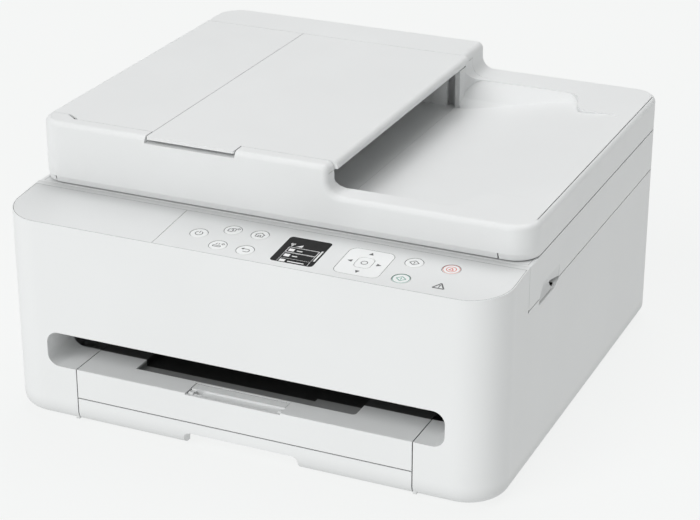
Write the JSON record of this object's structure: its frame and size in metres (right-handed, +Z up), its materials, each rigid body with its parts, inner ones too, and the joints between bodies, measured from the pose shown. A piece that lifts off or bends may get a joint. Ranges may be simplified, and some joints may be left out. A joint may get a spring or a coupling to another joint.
{
  "type": "multifunction inkjet printer",
  "caption": "White inkjet printer with flatbed scanner, document feeder on a hinged lid, sloping control panel, pull-out paper cassette and output tray.",
  "frame": {"origin": "middle of the footprint at the level of the surface that the feet stand on", "axes": "+Z up, +Y to the rear, +X to the right as seen from the front, where the panel is"},
  "size_m": [0.376, 0.359, 0.2055],
  "materials": {
    "casing": "fine matte texture",
    "panel": "fine matte texture",
    "button": "satin",
    "display": "polished",
    "dark_plastic": "fine matte texture",
    "cartridge_color": "satin",
    "gray_plastic": "satin",
    "sheet_metal": "galvanised",
    "motor_metal": "plain",
    "rail_metal": "polished",
    "rubber": "matte",
    "circuit_board": "varnished",
    "glass": "clear",
    "pad_foam": "soft foam with a white sheet"
  },
  "bodies": {
    "machine": {"base_housing": "casing", "rubber_feet": "rubber", "left_panel": "panel", "control_panel": "panel", "display_window": "display", "panel_board": "circuit_board", "print_frame": "sheet_metal", "carriage_rail": "rail_metal", "platen": "dark_plastic", "maintenance_unit": "dark_plastic", "feed_motor": "motor_metal", "carriage_motor": "motor_metal", "main_board": "circuit_board", "power_supply": "motor_metal", "power_inlet": "dark_plastic", "usb_port": "sheet_metal", "carriage_belt": "rubber"},
    "cassette": {"cassette": "casing"},
    "left_paper_guide": {"left_paper_guide": "gray_plastic"},
    "right_paper_guide": {"right_paper_guide": "gray_plastic"},
    "end_paper_guide": {"end_paper_guide": "gray_plastic"},
    "output_tray": {"output_tray": "casing"},
    "output_support": {"output_support": "casing"},
    "carriage": {"print_carriage": "dark_plastic", "black_cartridge": "dark_plastic", "color_cartridge": "cartridge_color"},
    "motor_pulley": {"motor_pulley": "gray_plastic"},
    "idler_pulley": {"idler_pulley": "gray_plastic"},
    "feed_roller": {"feed_roller": "rubber", "feed_gear": "gray_plastic"},
    "exit_roller": {"exit_roller": "rubber", "exit_gear": "gray_plastic"},
    "idler_gear": {"idler_gear": "gray_plastic"},
    "motor_pinion": {"motor_pinion": "gray_plastic"},
    "pickup_roller": {"pickup_roller": "rubber"},
    "rear_cover": {"rear_cover": "casing"},
    "navigation_pad": {"navigation_pad": "button"},
    "scanner": {"scanner_housing": "casing", "scanner_top": "casing", "scanner_glass": "glass"},
    "scan_bar": {"scan_bar": "dark_plastic"},
    "support_arm": {"support_arm": "gray_plastic"},
    "lid": {"feeder_housing": "casing", "feeder_frame": "casing", "platen_pad": "pad_foam"},
    "feeder_cover": {"feeder_cover": "casing"},
    "document_tray": {"document_tray": "casing"},
    "front_document_guide": {"front_document_guide": "casing"},
    "rear_document_guide": {"rear_document_guide": "casing"},
    "feeder_pickup_roller": {"feeder_pickup_roller": "rubber"},
    "feeder_turn_roller": {"feeder_turn_roller": "rubber"},
    "power_button": {"power_button": "button"},
    "copy_button": {"copy_button": "button"},
    "home_button": {"home_button": "button"},
    "scan_button": {"scan_button": "button"},
    "back_button": {"back_button": "button"},
    "start_black_button": {"start_black_button": "button"},
    "start_color_button": {"start_color_button": "button"},
    "stop_button": {"stop_button": "button"},
    "ok_button": {"ok_button": "button"}
  },
  "joints": [
    {"name": "power_button_press", "type": "slide", "parent": "machine", "child": "power_button", "axis": [0, 0.0872, -0.9962], "range_m": [0, 0.0005], "stiffness_N_per_m": 600, "springref_m": -0.0008},
    {"name": "copy_button_press", "type": "slide", "parent": "machine", "child": "copy_button", "axis": [0, 0.0872, -0.9962], "range_m": [0, 0.0005], "stiffness_N_per_m": 600, "springref_m": -0.0008},
    {"name": "home_button_press", "type": "slide", "parent": "machine", "child": "home_button", "axis": [0, 0.0872, -0.9962], "range_m": [0, 0.0005], "stiffness_N_per_m": 600, "springref_m": -0.0008},
    {"name": "scan_button_press", "type": "slide", "parent": "machine", "child": "scan_button", "axis": [0, 0.0872, -0.9962], "range_m": [0, 0.0005], "stiffness_N_per_m": 600, "springref_m": -0.0008},
    {"name": "back_button_press", "type": "slide", "parent": "machine", "child": "back_button", "axis": [0, 0.0872, -0.9962], "range_m": [0, 0.0005], "stiffness_N_per_m": 600, "springref_m": -0.0008},
    {"name": "start_black_button_press", "type": "slide", "parent": "machine", "child": "start_black_button", "axis": [0, 0.0872, -0.9962], "range_m": [0, 0.0005], "stiffness_N_per_m": 600, "springref_m": -0.0008},
    {"name": "start_color_button_press", "type": "slide", "parent": "machine", "child": "start_color_button", "axis": [0, 0.0872, -0.9962], "range_m": [0, 0.0005], "stiffness_N_per_m": 600, "springref_m": -0.0008},
    {"name": "stop_button_press", "type": "slide", "parent": "machine", "child": "stop_button", "axis": [0, 0.0872, -0.9962], "range_m": [0, 0.0005], "stiffness_N_per_m": 600, "springref_m": -0.0008},
    {"name": "ok_button_press", "type": "slide", "parent": "machine", "child": "ok_button", "axis": [0, 0.0872, -0.9962], "range_m": [0, 0.0005], "stiffness_N_per_m": 600, "springref_m": -0.0008},
    {"name": "navigation_pad_rock", "type": "hinge", "parent": "machine", "child": "navigation_pad", "pos_m": [0.0834, -0.15379, 0.14691], "axis": [1, 0, 0], "range_deg": [-1.5, 1.5], "stiffness_Nm_per_rad": 0.8},
    {"name": "cassette_slide", "type": "slide", "parent": "machine", "child": "cassette", "axis": [0, -1, 0], "range_m": [0, 0.2]},
    {"name": "left_guide_slide", "type": "slide", "parent": "cassette", "child": "left_paper_guide", "axis": [1, 0, 0], "range_m": [0, 0.048]},
    {"name": "right_guide_slide", "type": "slide", "parent": "cassette", "child": "right_paper_guide", "axis": [-1, 0, 0], "range_m": [0, 0.048]},
    {"name": "end_guide_slide", "type": "slide", "parent": "cassette", "child": "end_paper_guide", "axis": [0, 1, 0], "range_m": [0, 0.09]},
    {"name": "output_tray_slide", "type": "slide", "parent": "machine", "child": "output_tray", "axis": [0, -1, 0], "range_m": [0, 0.1]},
    {"name": "output_support_turn", "type": "hinge", "parent": "output_tray", "child": "output_support", "pos_m": [0, -0.1743, 0.041], "axis": [1, 0, 0], "range_deg": [0, 100]},
    {"name": "carriage_slide", "type": "slide", "parent": "machine", "child": "carriage", "axis": [-1, 0, 0], "range_m": [0, 0.222]},
    {"name": "motor_pulley_spin", "type": "hinge", "parent": "machine", "child": "motor_pulley", "pos_m": [-0.14, 0.07, 0.1], "axis": [0, 1, 0], "continuous": true},
    {"name": "idler_pulley_spin", "type": "hinge", "parent": "machine", "child": "idler_pulley", "pos_m": [0.14, 0.07, 0.1], "axis": [0, 1, 0], "continuous": true},
    {"name": "feed_roller_spin", "type": "hinge", "parent": "machine", "child": "feed_roller", "pos_m": [0, 0.0425, 0.049], "axis": [1, 0, 0], "continuous": true},
    {"name": "exit_roller_spin", "type": "hinge", "parent": "machine", "child": "exit_roller", "pos_m": [0, -0.0235, 0.049], "axis": [1, 0, 0], "continuous": true},
    {"name": "idler_gear_spin", "type": "hinge", "parent": "machine", "child": "idler_gear", "pos_m": [-0.16, 0.0095, 0.049], "axis": [1, 0, 0], "continuous": true},
    {"name": "motor_pinion_spin", "type": "hinge", "parent": "machine", "child": "motor_pinion", "pos_m": [-0.16, 0.0657, 0.0335], "axis": [1, 0, 0], "continuous": true},
    {"name": "pickup_roller_spin", "type": "hinge", "parent": "machine", "child": "pickup_roller", "pos_m": [0, 0.0765, 0.0305], "axis": [1, 0, 0], "continuous": true},
    {"name": "rear_cover_turn", "type": "hinge", "parent": "machine", "child": "rear_cover", "pos_m": [0, 0.1765, 0.0333], "axis": [-1, 0, 0], "range_deg": [0, 80]},
    {"name": "scanner_lift", "type": "hinge", "parent": "machine", "child": "scanner", "pos_m": [0, 0.1705, 0.1358], "axis": [-1, 0, 0], "range_deg": [0, 35]},
    {"name": "scan_bar_slide", "type": "slide", "parent": "scanner", "child": "scan_bar", "axis": [1, 0, 0], "range_m": [0, 0.3]},
    {"name": "support_arm_swing", "type": "hinge", "parent": "scanner", "child": "support_arm", "pos_m": [0.165, -0.04, 0.1216], "axis": [-1, 0, 0], "range_deg": [0, 55]},
    {"name": "lid_lift", "type": "hinge", "parent": "scanner", "child": "lid", "pos_m": [0, 0.1705, 0.1688], "axis": [-1, 0, 0], "range_deg": [0, 75]},
    {"name": "feeder_cover_turn", "type": "hinge", "parent": "lid", "child": "feeder_cover", "pos_m": [-0.181, 0.0145, 0.179], "axis": [0, -1, 0], "range_deg": [0, 85]},
    {"name": "document_tray_turn", "type": "hinge", "parent": "lid", "child": "document_tray", "pos_m": [0.038, 0.0145, 0.202], "axis": [0, 1, 0], "range_deg": [0, 150]},
    {"name": "front_document_guide_slide", "type": "slide", "parent": "lid", "child": "front_document_guide", "axis": [0, 1, 0], "range_m": [0, 0.06]},
    {"name": "rear_document_guide_slide", "type": "slide", "parent": "lid", "child": "rear_document_guide", "axis": [0, -1, 0], "range_m": [0, 0.06]},
    {"name": "feeder_pickup_roller_spin", "type": "hinge", "parent": "lid", "child": "feeder_pickup_roller", "pos_m": [-0.108, 0.0155, 0.1963], "axis": [0, 1, 0], "continuous": true},
    {"name": "feeder_turn_roller_spin", "type": "hinge", "parent": "lid", "child": "feeder_turn_roller", "pos_m": [-0.148, 0.0155, 0.179], "axis": [0, 1, 0], "continuous": true}
  ],
  "couplings": [
    {"joint": "right_guide_slide", "follows": "left_guide_slide", "ratio": 1},
    {"joint": "motor_pulley_spin", "follows": "carriage_slide", "rad_per_m": -116.28},
    {"joint": "idler_pulley_spin", "follows": "carriage_slide", "rad_per_m": -116.28},
    {"joint": "exit_roller_spin", "follows": "feed_roller_spin", "ratio": 1},
    {"joint": "idler_gear_spin", "follows": "feed_roller_spin", "ratio": -1.6},
    {"joint": "motor_pinion_spin", "follows": "feed_roller_spin", "ratio": -2.6667},
    {"joint": "support_arm_swing", "follows": "scanner_lift", "ratio": 1.5714},
    {"joint": "rear_document_guide_slide", "follows": "front_document_guide_slide", "ratio": 1},
    {"joint": "feeder_turn_roller_spin", "follows": "feeder_pickup_roller_spin", "ratio": -0.42308}
  ]
}
